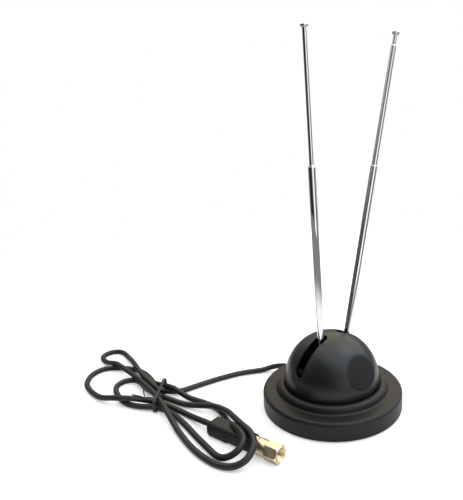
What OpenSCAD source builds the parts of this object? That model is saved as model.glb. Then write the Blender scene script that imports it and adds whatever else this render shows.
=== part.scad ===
// Indoor television antenna: a weighted round base with a slotted dome, two
// telescopic rods on friction pivots, and a tied coaxial lead with a screw-on plug.

/* [Base] */
// Outer diameter of the base
base_d = 100; // [98:0.5:106]
// Height of the base's flat top above the table
base_h = 13.4; // [13.2:0.1:14.4]
// Radius of the rounded shoulder round the base's top
shoulder_r = 2.5; // [1.5:0.1:3.5]
// Thickness of the base's top wall
base_wall = 2.6; // [2.2:0.1:2.8]
// Thickness of the cast ring weight
weight_t = 5; // [3:0.5:5]

/* [Dome] */
// Outer radius of the dome
dome_r = 33.7; // [33.5:0.1:33.8]
// Height of the dome's centre above the table
dome_z = 20.6; // [20:0.1:21.2]
// Wall of the dome
dome_wall = 2.2; // [1.8:0.1:2.6]
// Width of the two slots that the rods swing in
slot_w = 7.6; // [7.2:0.1:8.4]
// Angle from the vertical to the upper end of a slot
slot_top = 16; // [15:0.5:20]
// Angle from the vertical to the lower end of a slot
slot_low = 65.5; // [60:0.5:67]
// Upward tilt of the round flat on the dome's front
flat_tilt = 26; // [15:1:35]
// Depth that the flat is cut into the dome
flat_depth = 2.2; // [1.4:0.1:2.6]

/* [Rods] */
// Distance of each pivot from the middle of the dome
pivot_x = 8.6; // [8.4:0.1:9.2]
// Height of the pivots above the table
pivot_z = 20; // [19.5:0.1:20.5]
// Lean of the left rod from the vertical
left_lean = 2.2; // [0:0.1:50]
// Lean of the right rod from the vertical
right_lean = 13.5; // [0:0.1:50]
// Outer diameter of the thickest tube
tube_d = 4.8; // [4.6:0.1:5]
// Step in diameter from one tube to the next
tube_step = 1; // [1:0.1:1.1]
// Wall of each tube
tube_wall = 0.4; // [0.35:0.05:0.4]
// Distance from the pivot to the top of the thickest tube
outer_top = 152; // [140:0.5:160]
// How far the left rod's middle tube is pulled out
left_middle_out = 0; // [0:1:118]
// How far the left rod's inner tube is pulled out
left_inner_out = 81; // [0:1:116]
// How far the right rod's middle tube is pulled out
right_middle_out = 82; // [0:1:118]
// How far the right rod's inner tube is pulled out
right_inner_out = 7; // [0:1:116]
// Diameter of the button on each rod's tip
tip_d = 5; // [4.8:0.1:6]

/* [Lead] */
// Diameter of the coaxial lead
lead_d = 4.2; // [3.8:0.1:4.2]
// Height of the lead's outlet in the back of the base
outlet_z = 6.85; // [6.8:0.05:6.9]

/* [Plug] */
// Width of the plug's hexagon nut across its flats
nut_af = 11; // [11:0.1:11.4]
// Length of the hexagon part of the nut
nut_hex_l = 10; // [9:0.5:11]
// Radius of the nut's threaded bore
nut_bore_r = 4.75; // [4.6:0.05:4.8]
// Width of the plug's moulded boot
boot_w = 11; // [10.6:0.1:11]

/* [Hidden] */
$fn = 96;
eps = 0.01;

// Radii and levels of the base, from the table up
base_r = base_d / 2;
skirt_low = 0.7;
skirt_t = 3;
plate_low = 0.9;
plate_t = 2;
plate_top = plate_low + plate_t;
plate_r = base_r - skirt_t - 0.1;
pad_r = 38;
pad_t = 1.2;
cavity_top = base_h - base_wall;
weight_r = 38.5;
weight_bore_r = 14;

// Bead round the foot of the dome and the seat that holds the dome's rim
bead_r = 3.4;
bead_x = 36;
bead_z = 14.9;
fillet_r = 1.8;
seat_r = dome_r + 0.05;
seat_z = 15.2;
seat_in = 30.6;

// Screw posts, as distances from the middle
case_screw_r = 43;
dome_post_xy = 19;
dome_post_r = 3;
board_post_x = 9.5;
board_post_y = [12, 24];
board_low = 17;
board_t = 1.2;
bracket_screw_x = 17.5;
lead_hole_y = 18;

// The flat on the dome, as the tilt of its normal and its distance from the centre
flat_at = dome_r - flat_depth;

// Radii of the nested tubes; index 0 is the outer tube
function tube_r(i) = (tube_d - i * tube_step) / 2;
function bore_r(i) = tube_r(i) - tube_wall;
slide_gap = 0.05;
lip_l = 2;
middle_l = 134;
inner_l = 132;
sleeve_l = 5.5;
lug_top = 8;
spigot_l = 6;
tip_t = 1.5;

// Bracket cheeks and the pivot that joins them to a rod's lug
cheek_in = 2.2;
cheek_t = 1;
cheek_out = cheek_in + cheek_t;
cheek_r = 4.2;
strip_t = 1;
pin_r = 1.25;
pin_gap = 0.05;
washer_t = 0.4;

// Plug, measured back from the mouth of its nut
plug_at = [-71, -30, 5.5];
plug_turn = -75;
nut_l = 16.5;
ring_back = 20.5;
boot_step = 40;
boot_back = 58;
neck_r = 3.55;

// Tie round the lead: its middle, its turn from the X axis, and its inner size
tie_at = [-94.5, 87.4];
tie_turn = 51.5;
tie_half = 18;
tie_h = 9.9;
tie_r = 2.6;
tie_t = 0.6;
tie_w = 2.4;

// Middle line of the lead, from inside the base to the plug's boot
LEAD = [
    [0, 40, 6.85], [0, 50, 6.85], [0, 58, 6.85], [-3.5, 66.5, 4.2], [-13, 72, 2.1], [-28, 79, 2.1],
    [-46, 83, 2.1], [-64, 85, 2.1], [-77, 86, 2.3], [-85, 90, 2.9], [-90.5, 98, 3],
    [-92.5, 109, 5.8], [-92.5, 125, 6.4], [-90.5, 142, 6.6], [-87.5, 158, 4.5], [-85.4, 172, 2.1],
    [-85.2, 183.5, 2.1], [-87.9, 190.1, 2.1], [-94.5, 192.8, 2.1], [-101.1, 190.1, 2.1],
    [-103.8, 183.5, 2.1], [-103.8, 172, 3.2], [-101.5, 158, 6.7], [-99.5, 142, 6.6],
    [-98, 124, 6.5], [-98, 106, 6.6], [-98.5, 91, 7], [-99.5, 77, 7], [-101.5, 61, 5.8],
    [-104.5, 38, 2.6], [-106, 14, 2.1], [-103.5, -5, 2.1], [-97.5, -16, 2.9], [-89.5, -20.5, 6.5],
    [-81.5, -17, 11.4], [-77.5, -8, 12.9], [-76, 4, 12.2], [-73, 18, 9.4], [-71, 31, 7.4],
    [-73.5, 43, 6.6], [-79, 54, 4.6], [-85, 66, 2.5], [-90, 78, 2.8], [-94.5, 92, 2.8],
    [-96.5, 108, 2.1], [-96.2, 121, 2.1], [-98.6, 128.2, 2.1], [-105.5, 131.2, 2.1],
    [-112.3, 128.2, 2.1], [-116, 120.5, 2.1], [-117.5, 110, 2.1], [-117, 98, 2.1], [-112, 87, 2.5],
    [-104, 77, 2.9], [-98, 65, 2.2], [-97, 46, 2.1], [-98, 26, 2.1], [-98.5, 10, 2.1],
    [-98.5, -2, 2.6], [-95.5, -9.3, 5], [-89.8, -12.6, 9], [-84.2, -10, 12.2], [-81.7, -2.5, 12.9],
    [-79.5, 9, 10.5], [-75.5, 21, 5], [-71.5, 34, 2.1], [-70, 46, 2.1], [-73, 59, 2.1],
    [-79, 72, 3.2], [-83.5, 85, 6.6], [-86, 98, 5.2], [-88, 112, 2.1], [-87, 125, 2.1],
    [-88, 138, 2.1], [-93, 149, 2.1], [-101, 159, 2.1], [-111, 164.5, 2.1], [-122, 160, 2.1],
    [-129.5, 148, 2.1], [-131, 134, 2.1], [-129, 118, 3], [-123, 104, 6.2], [-115, 95, 6.6],
    [-105, 88, 4.2], [-97.5, 78, 2.9], [-92.5, 64, 2.2], [-89.5, 50, 2.4], [-88.2, 38, 4.4],
    [-86.8, 29, 5.5], [-85, 22.2, 5.5]
];

// Shared shapes

module in_dome_frame() { translate([0, 0, dome_z]) children(); }

// Half space behind the dome's front flat, at a distance from the dome's centre
module behind_flat(distance) {
    in_dome_frame() rotate([90 - flat_tilt, 0, 0]) translate([-60, -60, -120 + distance])
        cube([120, 120, 120]);
}

// A pan-head screw that points up from its head's underside at the origin
module screw_up(shank_r, shank_l, head_r, head_h) {
    difference() {
        union() {
            cylinder(r = shank_r, h = shank_l, $fn = 32);
            translate([0, 0, -head_h]) cylinder(r1 = head_r - 0.4, r2 = head_r, h = head_h, $fn = 32);
        }
        for (a = [0, 90])
            rotate([0, 0, a]) translate([-head_r * 0.6, -0.3, -head_h - eps])
                cube([head_r * 1.2, 0.6, head_h * 0.55]);
    }
}

module round_rect(w, h, r) {
    square([w - 2 * r, h], center = true);
    square([w, h - 2 * r], center = true);
    for (x = [-1, 1], y = [-1, 1])
        translate([x * (w / 2 - r), y * (h / 2 - r)]) circle(r = r, $fn = 48);
}

// Ring at one point of a swept line: side points round the line's direction
function unit(v) = v / norm(v);
function way(p, i) = unit(p[min(i + 1, len(p) - 1)] - p[max(i - 1, 0)]);
function ring(p, i, r, n) =
    let (t = way(p, i), s = unit(cross(t, [0, 0, 1])), u = cross(s, t))
        [for (k = [0:n - 1]) p[i] + r * (cos(360 * k / n) * s + sin(360 * k / n) * u)];

module sweep(p, r, n) {
    last = len(p) - 1;
    polyhedron(
        points = [for (i = [0:last]) each ring(p, i, r, n)],
        faces = concat(
            [[for (k = [0:n - 1]) k]],
            [for (i = [0:last - 1]) for (k = [0:n - 1]) let (j = (k + 1) % n)
                each [[i * n + k, i * n + n + k, i * n + n + j], [i * n + k, i * n + n + j, i * n + j]]],
            [[for (k = [n - 1:-1:0]) last * n + k]]
        )
    );
}

// Base

module base_profile() {
    difference() {
        union() {
            square([base_r - shoulder_r, base_h]);
            square([base_r, base_h - shoulder_r]);
            translate([base_r - shoulder_r, base_h - shoulder_r]) circle(r = shoulder_r);
            translate([bead_x, bead_z]) circle(r = bead_r);
            translate([seat_in, base_h - eps]) square([bead_x - seat_in, seat_z + 2 - base_h]);
            difference() {
                translate([bead_x, base_h - eps])
                    square([bead_r + fillet_r, bead_z - base_h + eps]);
                translate([bead_x + bead_r + fillet_r, base_h + fillet_r]) circle(r = fillet_r);
            }
        }
        translate([0, -eps]) square([base_r + eps, skirt_low + eps]);
        translate([0, -eps]) square([base_r - skirt_t, cavity_top + eps]);
        translate([0, seat_z]) square([seat_r, 20]);
    }
}

module base_cover() {
    color("#1b1b1d") difference() {
        union() {
            rotate_extrude() base_profile();
            for (a = [45:90:315])
                rotate([0, 0, a]) translate([case_screw_r, 0, plate_top])
                    cylinder(r = 3, h = cavity_top - plate_top + 1, $fn = 32);
            for (s = [-1, 1])
                translate([s * bracket_screw_x, 0, cavity_top - 2.4])
                    cylinder(r = 3, h = 3, $fn = 32);
            for (s = [-1, 1], y = board_post_y)
                translate([s * board_post_x, y, base_h - 1])
                    cylinder(r = 2.4, h = board_low - base_h + 1, $fn = 32);
        }
        for (a = [45:90:315])
            rotate([0, 0, a]) translate([case_screw_r, 0, plate_top - eps])
                cylinder(r = 1.2, h = 6, $fn = 32);
        for (s = [-1, 1])
            translate([s * bracket_screw_x, 0, cavity_top - 2.4 - eps])
                cylinder(r = 1, h = base_h, $fn = 32);
        for (x = [-1, 1], y = [-1, 1])
            translate([x * dome_post_xy, y * dome_post_xy, 0])
                cylinder(r = 1.5, h = 20, $fn = 32);
        for (s = [-1, 1], y = board_post_y)
            translate([s * board_post_x, y, base_h])
                cylinder(r = 0.9, h = 5, $fn = 32);
        translate([0, lead_hole_y, 0]) cylinder(r = 3.5, h = 20, $fn = 48);
        translate([0, base_r - 6, outlet_z]) rotate([-90, 0, 0])
            cylinder(r = 2.9, h = 10, $fn = 48);
    }
}

module base_plate() {
    color("#232325") difference() {
        translate([0, 0, plate_low]) cylinder(r = plate_r, h = plate_t);
        translate([0, 0, plate_low - eps]) cylinder(r = pad_r + 0.2, h = pad_t - plate_low + eps);
        for (a = [45:90:315])
            rotate([0, 0, a]) translate([case_screw_r, 0, 0]) {
                cylinder(r = 1.6, h = 10, $fn = 32);
                translate([0, 0, plate_low - eps]) cylinder(r = 2.9, h = 1.1, $fn = 32);
            }
    }
}

module foot_pad() { color("#101011") cylinder(r = pad_r, h = pad_t); }

// Cast ring with a channel that the lead comes in through
module ring_weight() {
    color("#5a5c60") difference() {
        translate([0, 0, plate_top]) cylinder(r = weight_r, h = weight_t);
        translate([0, 0, plate_top - eps]) cylinder(r = weight_bore_r, h = weight_t + 1);
        translate([-4.5, 0, plate_top - eps]) cube([9, base_r, weight_t + 1]);
    }
}

module case_screws() {
    color("#8d8f92")
        for (a = [45:90:315])
            rotate([0, 0, a]) translate([case_screw_r, 0, plate_low + 1.1 - eps])
                screw_up(1.2, 5.5, 2.6, 1);
}

// Dome

module slot_cut(side) {
    in_dome_frame() mirror([side < 0 ? 1 : 0, 0, 0]) {
        rotate([90, 0, 0]) linear_extrude(slot_w, center = true)
            polygon([
                [0, 0], [60 * sin(slot_top), 60 * cos(slot_top)],
                [90 * sin((slot_top + slot_low) / 2), 90 * cos((slot_top + slot_low) / 2)],
                [60 * sin(slot_low), 60 * cos(slot_low)]
            ]);
        for (a = [slot_top, slot_low])
            rotate([0, a, 0]) cylinder(r = slot_w / 2 + 0.05, h = 60, $fn = 64);
    }
}

module dome() {
    color("#1d1d1f") difference() {
        union() {
            difference() {
                intersection() {
                    in_dome_frame() rotate([0, 0, 70]) sphere(r = dome_r, $fn = 128);
                    behind_flat(flat_at);
                    translate([-50, -50, seat_z]) cube(100);
                }
                intersection() {
                    in_dome_frame() rotate([0, 0, 70]) sphere(r = dome_r - dome_wall, $fn = 128);
                    behind_flat(flat_at - dome_wall);
                }
            }
            intersection() {
                for (x = [-1, 1], y = [-1, 1])
                    translate([x * dome_post_xy, y * dome_post_xy, base_h])
                        cylinder(r = dome_post_r, h = 40, $fn = 32);
                in_dome_frame() rotate([0, 0, 70]) sphere(r = dome_r - 1, $fn = 128);
            }
        }
        for (side = [-1, 1]) slot_cut(side);
        for (x = [-1, 1], y = [-1, 1])
            translate([x * dome_post_xy, y * dome_post_xy, base_h - 1])
                cylinder(r = 1.1, h = 11, $fn = 32);
    }
}

module dome_screws() {
    color("#8d8f92")
        for (x = [-1, 1], y = [-1, 1])
            translate([x * dome_post_xy, y * dome_post_xy, cavity_top])
                screw_up(1.1, 9, 2.6, 1.5);
}

// Pivot brackets: a folded strip with two cheeks, held by one screw each

module bracket(side) {
    color("#b9bcc0") mirror([side < 0 ? 1 : 0, 0, 0]) difference() {
        union() {
            translate([pivot_x - cheek_r, -cheek_out, base_h])
                cube([bracket_screw_x + 3.6 - pivot_x + cheek_r, 2 * cheek_out, strip_t]);
            for (y = [-cheek_out, cheek_in])
                translate([0, y + cheek_t, 0]) rotate([90, 0, 0]) linear_extrude(cheek_t) {
                    translate([pivot_x - cheek_r, base_h])
                        square([2 * cheek_r, pivot_z - base_h]);
                    translate([pivot_x, pivot_z]) circle(r = cheek_r);
                }
        }
        translate([pivot_x, 0, pivot_z]) rotate([90, 0, 0])
            cylinder(r = pin_r, h = 20, center = true, $fn = 48);
        translate([bracket_screw_x, 0, base_h - 1]) cylinder(r = 1.3, h = 5, $fn = 32);
    }
}

module left_bracket() { bracket(-1); }
module right_bracket() { bracket(1); }

module bracket_screws() {
    color("#8d8f92")
        for (s = [-1, 1])
            translate([s * bracket_screw_x, 0, base_h + strip_t])
                rotate([180, 0, 0]) screw_up(1, 5.5, 2.2, 1.4);
}

module pivot_pin(side) {
    color("#c9c4b0") translate([side * pivot_x, 0, pivot_z]) rotate([-90, 0, 0]) {
        translate([0, 0, -cheek_out]) cylinder(r = pin_r, h = 2 * cheek_out + washer_t, $fn = 48);
        translate([0, 0, -cheek_out - 0.8]) cylinder(r1 = 1.5, r2 = 2.1, h = 0.8, $fn = 48);
        translate([0, 0, cheek_out + washer_t]) cylinder(r1 = 2.3, r2 = 1.9, h = 0.9, $fn = 48);
    }
}

module left_pivot_pin() { pivot_pin(-1); }
module right_pivot_pin() { pivot_pin(1); }

module spring_washer(side) {
    color("#9a9da1") translate([side * pivot_x, cheek_out, pivot_z]) rotate([-90, 0, 0])
        difference() {
            cylinder(r = 2.6, h = washer_t, $fn = 48);
            translate([0, 0, -1]) cylinder(r = pin_r + pin_gap, h = 3, $fn = 48);
        }
}

module left_spring_washer() { spring_washer(-1); }
module right_spring_washer() { spring_washer(1); }

// Balun: a small board on four posts, with a two-hole ferrite core and its winding

module balun_board() {
    color("#2f6b3c") difference() {
        translate([-12.5, board_post_y[0] - 3, board_low])
            cube([25, board_post_y[1] - board_post_y[0] + 6, board_t]);
        for (s = [-1, 1], y = board_post_y)
            translate([s * board_post_x, y, board_low - 1]) cylinder(r = 1.2, h = 5, $fn = 32);
    }
}

module board_screws() {
    color("#8d8f92")
        for (s = [-1, 1], y = board_post_y)
            translate([s * board_post_x, y, board_low + board_t])
                rotate([180, 0, 0]) screw_up(0.9, 4.5, 1.9, 1.1);
}

core_size = [7, 6, 4];
core_y = 18;

module balun_core() {
    color("#3a3b3e") translate([0, core_y, board_low + board_t]) difference() {
        translate([-core_size[0] / 2, -core_size[1] / 2, 0]) cube(core_size);
        for (s = [-1, 1])
            translate([s * 1.7, 0, core_size[2] / 2]) rotate([90, 0, 0])
                cylinder(r = 0.9, h = 20, center = true, $fn = 32);
    }
}

// Enamelled wire through both holes of the core, with its ends down to the board
module balun_winding() {
    half_y = core_size[1] / 2;
    mid_z = core_size[2] / 2;
    color("#b8602a") translate([0, core_y, board_low + board_t]) sweep([
        [1.7, -half_y - 1, 0.1], [1.7, -half_y - 0.9, mid_z - 0.6], [1.7, -half_y - 0.4, mid_z],
        [1.7, half_y + 0.4, mid_z], [1.1, half_y + 0.9, mid_z], [-1.1, half_y + 0.9, mid_z],
        [-1.7, half_y + 0.4, mid_z], [-1.7, -half_y - 0.4, mid_z],
        [-1.7, -half_y - 0.9, mid_z - 0.6], [-1.7, -half_y - 1, 0.1]
    ], 0.35, 8);
}

// Wires inside the dome

module left_wire() {
    color("#b03028") sweep([[-14, 1, 15.1], [-14, 3.5, 15.3], [-14, 6, 16], [-14.2, 9, 18.2], [-13.5, 12, 19.8], [-11.5, 15, 19.6], [-9, 17.5, 18.9]], 0.7, 8);
}

module right_wire() {
    color("#2b2b2e") sweep([[14, 1, 15.1], [14, 3.5, 15.3], [14, 6, 16], [14.2, 9, 18.2], [13.5, 12, 19.8], [11.5, 15, 19.6], [9, 17.5, 18.9]], 0.7, 8);
}

module core_wire() {
    color("#e6e2d8") sweep([[1.2, 40, 6.6], [1.4, 34, 6], [1.6, 26, 6.2], [1.8, 20, 8.5], [1.8, 18, 12], [1.8, 17.5, 17]], 0.8, 8);
}

module shield_wire() {
    color("#8a6a3c") sweep([[-1.2, 40, 6.6], [-1.4, 34, 6], [-1.6, 26, 6.2], [-1.8, 20, 8.5], [-1.8, 18, 12], [-1.8, 17.5, 17]], 0.8, 8);
}

// Saddle on the base plate that grips the lead just inside the outlet
module lead_clamp() {
    color("#d8d8d2") difference() {
        translate([-5, 40.5, plate_top]) cube([10, 4.5, cavity_top - plate_top - 0.4]);
        translate([0, 50, outlet_z]) rotate([90, 0, 0]) cylinder(r = lead_d / 2, h = 20, $fn = 32);
    }
}

// Rubber sleeve: a flange inside the wall, a neck through it and a tapered tail
module lead_grommet() {
    color("#141415") difference() {
        translate([0, base_r - skirt_t, outlet_z]) rotate([-90, 0, 0]) {
            translate([0, 0, -1.6]) cylinder(r = 3.8, h = 1.4, $fn = 48);
            translate([0, 0, -0.3]) cylinder(r = 2.9, h = skirt_t + 0.4, $fn = 48);
            translate([0, 0, skirt_t + 0.05]) cylinder(r = 3.7, h = 1.2, $fn = 48);
            translate([0, 0, skirt_t + 1.2]) cylinder(r1 = 3.5, r2 = 2.7, h = 6.5, $fn = 48);
        }
        translate([0, base_r, outlet_z]) rotate([90, 0, 0])
            cylinder(r = lead_d / 2, h = 40, center = true, $fn = 32);
    }
}

// Rods: each is built upright with its pivot at the origin, then leaned over

module on_pivot(side) {
    translate([side * pivot_x, 0, pivot_z])
        rotate([0, side < 0 ? -left_lean : right_lean, 0]) children();
}

module lug(side) {
    color("#c2a15a") on_pivot(side) difference() {
        union() {
            rotate([90, 0, 0]) linear_extrude(2 * (cheek_in - 0.1), center = true) {
                circle(r = 3.2);
                translate([-1.9, 0]) square([3.8, lug_top]);
            }
            translate([0, 0, lug_top - 1]) cylinder(r = bore_r(0), h = spigot_l + 1, $fn = 48);
        }
        rotate([90, 0, 0]) cylinder(r = pin_r + pin_gap, h = 20, center = true, $fn = 48);
    }
}

// A tube with its top end rolled in to guide the next one; low is its bottom end
module rod_tube(i, low, top, next_r) {
    neck = i == 0 ? 0 : sleeve_l + 0.5;
    rotate_extrude() difference() {
        union() {
            translate([0, low + neck]) square([tube_r(i), top - low - neck - 0.5]);
            translate([0, low]) square([tube_r(i) - (i == 0 ? 0 : 0.15), top - low - 0.5]);
            translate([0, top - 0.5 - eps])
                polygon([[0, 0], [tube_r(i), 0], [tube_r(i) - 0.2, 0.5 + eps], [0, 0.5 + eps]]);
        }
        translate([0, low - eps]) square([bore_r(i), top - low - lip_l + eps]);
        translate([0, low - eps]) square([next_r + slide_gap, top - low + 1]);
    }
}

// Springy split sleeve round the bottom end of a sliding tube
module sleeve(i, low) {
    translate([0, 0, low]) difference() {
        cylinder(r = bore_r(i - 1) - 0.03, h = sleeve_l, $fn = 48);
        translate([0, 0, -1]) cylinder(r = tube_r(i) - 0.15, h = sleeve_l + 2, $fn = 48);
        translate([0, -0.3, 0.8]) cube([10, 0.6, sleeve_l - 1.6]);
    }
}

middle_rest = outer_top + 0.8;
inner_rest = middle_rest + 0.6;

module outer_tube(side) {
    color("#d6d8db") on_pivot(side) rod_tube(0, lug_top, outer_top, tube_r(1));
}

module middle_tube(side, out) {
    color("#d6d8db") on_pivot(side)
        rod_tube(1, middle_rest + out - middle_l, middle_rest + out, tube_r(2));
}

module middle_sleeve(side, out) {
    color("#b98a45") on_pivot(side) sleeve(1, middle_rest + out - middle_l);
}

module inner_tube(side, out) {
    color("#d6d8db") on_pivot(side)
        rod_tube(2, inner_rest + out - inner_l, inner_rest + out, bore_r(2) - slide_gap);
}

module inner_sleeve(side, out) {
    color("#b98a45") on_pivot(side) sleeve(2, inner_rest + out - inner_l);
}

module tip(side, out) {
    edge = 0.4;
    color("#cfd1d4") on_pivot(side) translate([0, 0, inner_rest + out]) rotate_extrude() {
        translate([0, edge]) square([tip_d / 2, tip_t - 2 * edge]);
        square([tip_d / 2 - edge, tip_t]);
        for (z = [edge, tip_t - edge]) translate([tip_d / 2 - edge, z]) circle(r = edge);
        translate([0, -4]) square([bore_r(2), 4 + eps]);
    }
}

left_total = left_middle_out + left_inner_out;
right_total = right_middle_out + right_inner_out;

module left_lug() { lug(-1); }
module left_outer_tube() { outer_tube(-1); }
module left_middle_tube() { middle_tube(-1, left_middle_out); }
module left_middle_sleeve() { middle_sleeve(-1, left_middle_out); }
module left_inner_tube() { inner_tube(-1, left_total); }
module left_inner_sleeve() { inner_sleeve(-1, left_total); }
module left_tip() { tip(-1, left_total); }

module right_lug() { lug(1); }
module right_outer_tube() { outer_tube(1); }
module right_middle_tube() { middle_tube(1, right_middle_out); }
module right_middle_sleeve() { middle_sleeve(1, right_middle_out); }
module right_inner_tube() { inner_tube(1, right_total); }
module right_inner_sleeve() { inner_sleeve(1, right_total); }
module right_tip() { tip(1, right_total); }

// Lead and plug

module lead() { color("#161617") sweep(LEAD, lead_d / 2, 8); }

module lead_tie() {
    color("#202022") translate([tie_at[0], tie_at[1], 0]) rotate([90, 0, tie_turn])
        linear_extrude(tie_w, center = true) translate([0, tie_h / 2]) difference() {
            round_rect(2 * tie_half, tie_h, tie_r);
            round_rect(2 * (tie_half - tie_t), tie_h - 2 * tie_t, tie_r - tie_t);
        }
}

// The tie's two free ends, twisted back over the lead
module tie_ends() {
    color("#202022") {
        sweep([[-103.6, 79.4, 9.2], [-105.3, 83, 8.6], [-107, 87, 7.6], [-110, 91.3, 8.4], [-113.3, 94.3, 9.3]], 0.45, 8);
        sweep([[-105.6, 89.6, 7.2], [-104.4, 93.5, 6.4], [-102.8, 98, 6.2], [-100.8, 103.5, 6.9]], 0.45, 8);
    }
}

module on_plug() { translate(plug_at) rotate([0, 90, plug_turn]) children(); }

module round_block(w, h, r, from, to) {
    translate([0, 0, -from]) linear_extrude(from - to) round_rect(h, w, r);
}

module plug_boot() {
    color("#161617") on_plug() difference() {
        union() {
            round_block(boot_w, 10.4, 2, boot_back, boot_step);
            round_block(boot_w - 1, 9.6, 2, boot_step + eps, ring_back);
        }
        translate([0, 0, -boot_back - 1]) cylinder(r = lead_d / 2, h = 6, $fn = 32);
        translate([0, 0, -ring_back - 6]) cylinder(r = neck_r, h = 8, $fn = 48);
    }
}

module plug_body() {
    color("#c8ae74") on_plug() difference() {
        union() {
            translate([0, 0, -ring_back - 6]) cylinder(r = neck_r, h = ring_back + 6 - 7, $fn = 48);
            translate([0, 0, -ring_back]) cylinder(r = 5.2, h = ring_back - nut_l - 0.7, $fn = 64);
            translate([0, 0, -7.5]) cylinder(r = nut_bore_r - 0.15, h = 1.3, $fn = 48);
        }
        translate([0, 0, -ring_back - 7]) cylinder(r = 2.4, h = ring_back + 7, $fn = 48);
    }
}

module plug_nut() {
    hex_r = nut_af / sqrt(3);
    color("#cfb67c") on_plug() difference() {
        union() {
            intersection() {
                translate([0, 0, -nut_hex_l]) rotate([0, 0, 30])
                    cylinder(r = hex_r, h = nut_hex_l, $fn = 6);
                translate([0, 0, -nut_hex_l]) rotate_extrude() polygon([
                    [0, 0], [hex_r - 0.6, 0], [hex_r, 1], [hex_r, nut_hex_l - 1],
                    [hex_r - 0.8, nut_hex_l], [0, nut_hex_l]
                ]);
            }
            translate([0, 0, -nut_l]) cylinder(r = 5.4, h = nut_l - nut_hex_l + eps, $fn = 64);
        }
        translate([0, 0, -nut_l - 1]) cylinder(r = neck_r + 0.05, h = nut_l, $fn = 48);
        translate([0, 0, -7.55]) cylinder(r = nut_bore_r, h = 8, $fn = 64);
    }
}

module plug_insulator() {
    color("#e9e6dc") on_plug() difference() {
        translate([0, 0, -14]) cylinder(r = 2.4, h = 7, $fn = 48);
        translate([0, 0, -15]) cylinder(r = 0.5, h = 10, $fn = 32);
    }
}

module plug_pin() {
    color("#c07840") on_plug() {
        translate([0, 0, -14]) cylinder(r = 0.5, h = 14.4, $fn = 32);
        translate([0, 0, 0.4 - eps]) cylinder(r1 = 0.5, r2 = 0.2, h = 0.5, $fn = 32);
    }
}

base_cover();
base_plate();
foot_pad();
ring_weight();
case_screws();
dome();
dome_screws();
left_bracket();
right_bracket();
bracket_screws();
left_pivot_pin();
right_pivot_pin();
left_spring_washer();
right_spring_washer();
balun_board();
board_screws();
balun_core();
balun_winding();
left_wire();
right_wire();
core_wire();
shield_wire();
lead_clamp();
lead_grommet();
left_lug();
left_outer_tube();
left_middle_tube();
left_middle_sleeve();
left_inner_tube();
left_inner_sleeve();
left_tip();
right_lug();
right_outer_tube();
right_middle_tube();
right_middle_sleeve();
right_inner_tube();
right_inner_sleeve();
right_tip();
lead();
lead_tie();
tie_ends();
plug_boot();
plug_body();
plug_nut();
plug_insulator();
plug_pin();
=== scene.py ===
import math

import bmesh
import bpy
from mathutils import Matrix, Vector, geometry


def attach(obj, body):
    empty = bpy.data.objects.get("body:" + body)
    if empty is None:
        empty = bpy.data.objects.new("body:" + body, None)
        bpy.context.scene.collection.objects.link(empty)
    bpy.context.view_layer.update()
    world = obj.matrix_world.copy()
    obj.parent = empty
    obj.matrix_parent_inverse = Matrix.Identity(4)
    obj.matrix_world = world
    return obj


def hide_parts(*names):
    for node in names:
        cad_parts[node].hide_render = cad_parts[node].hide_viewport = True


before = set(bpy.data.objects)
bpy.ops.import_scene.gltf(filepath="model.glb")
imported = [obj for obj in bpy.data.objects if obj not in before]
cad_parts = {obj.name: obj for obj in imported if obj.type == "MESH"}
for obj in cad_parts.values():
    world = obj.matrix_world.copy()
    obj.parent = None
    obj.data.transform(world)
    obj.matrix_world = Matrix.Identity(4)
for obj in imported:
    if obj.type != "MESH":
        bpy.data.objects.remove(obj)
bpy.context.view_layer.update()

# Every size below is in millimetres and becomes metres where a point is made.
MM = 0.001


# The shop table: a round white board under a lit ceiling, with walls that are bright
# and dark by turns for the rods to mirror, and one soft lamp at the upper right front.

class Wire:
    """A socket of a node tree. Sums, products and the like on it add Math nodes."""

    def __init__(self, tree, socket=None):
        self.tree, self.socket = tree, socket

    def node(self, kind, settings, sockets, out=0):
        made = self.tree.nodes.new(kind)
        for name, value in settings.items():
            if name == "stops":
                ramp = made.color_ramp.elements
                while len(ramp) < len(value):
                    ramp.new(1)
                for stop, (place, level) in zip(ramp, sorted(value)):
                    stop.position = place
                for stop, (place, level) in zip(ramp, sorted(value)):
                    rgb = level if hasattr(level, "__len__") else (level, level, level)
                    stop.color = (*rgb, 1)
            else:
                setattr(made, name, value)
        for name, value in sockets.items():
            if isinstance(value, Wire):
                self.tree.links.new(value.socket, made.inputs[name])
            else:
                made.inputs[name].default_value = value
        return Wire(self.tree, made.outputs[out])

    def to(self, socket):
        self.tree.links.new(self.socket, socket)

    def sum(self, operation, *values):
        return self.node("ShaderNodeMath", {"operation": operation}, dict(enumerate(values)))

    def __add__(self, other):
        return self.sum("ADD", self, other)

    def __sub__(self, other):
        return self.sum("SUBTRACT", self, other)

    def __rsub__(self, other):
        return self.sum("SUBTRACT", other, self)

    def __mul__(self, other):
        return self.sum("MULTIPLY", self, other)

    def __truediv__(self, other):
        return self.sum("DIVIDE", self, other)

    __radd__ = __add__
    __rmul__ = __mul__

    def between(self, low, high):
        """0 below low, 1 above high, smooth between."""
        return self.node("ShaderNodeMapRange", {"interpolation_type": "SMOOTHSTEP"},
                         {"Value": self, "From Min": low, "From Max": high})

    def blend(self, colour_a, colour_b):
        """Colour a where this is 0, colour b where it is 1."""
        return self.node("ShaderNodeMix", {"data_type": "RGBA"},
                         {0: self, 6: colour_a, 7: colour_b}, 2)

    def parts(self):
        split = self.node("ShaderNodeSeparateXYZ", {}, {0: self}).socket.node
        return [Wire(self.tree, out) for out in split.outputs]


world = bpy.data.worlds.new("room")
bpy.context.scene.world = world
world.use_nodes = True
room = Wire(world.node_tree)
room_x, room_y, room_z = room.node("ShaderNodeTexCoord", {}, {}, "Generated").parts()
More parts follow.
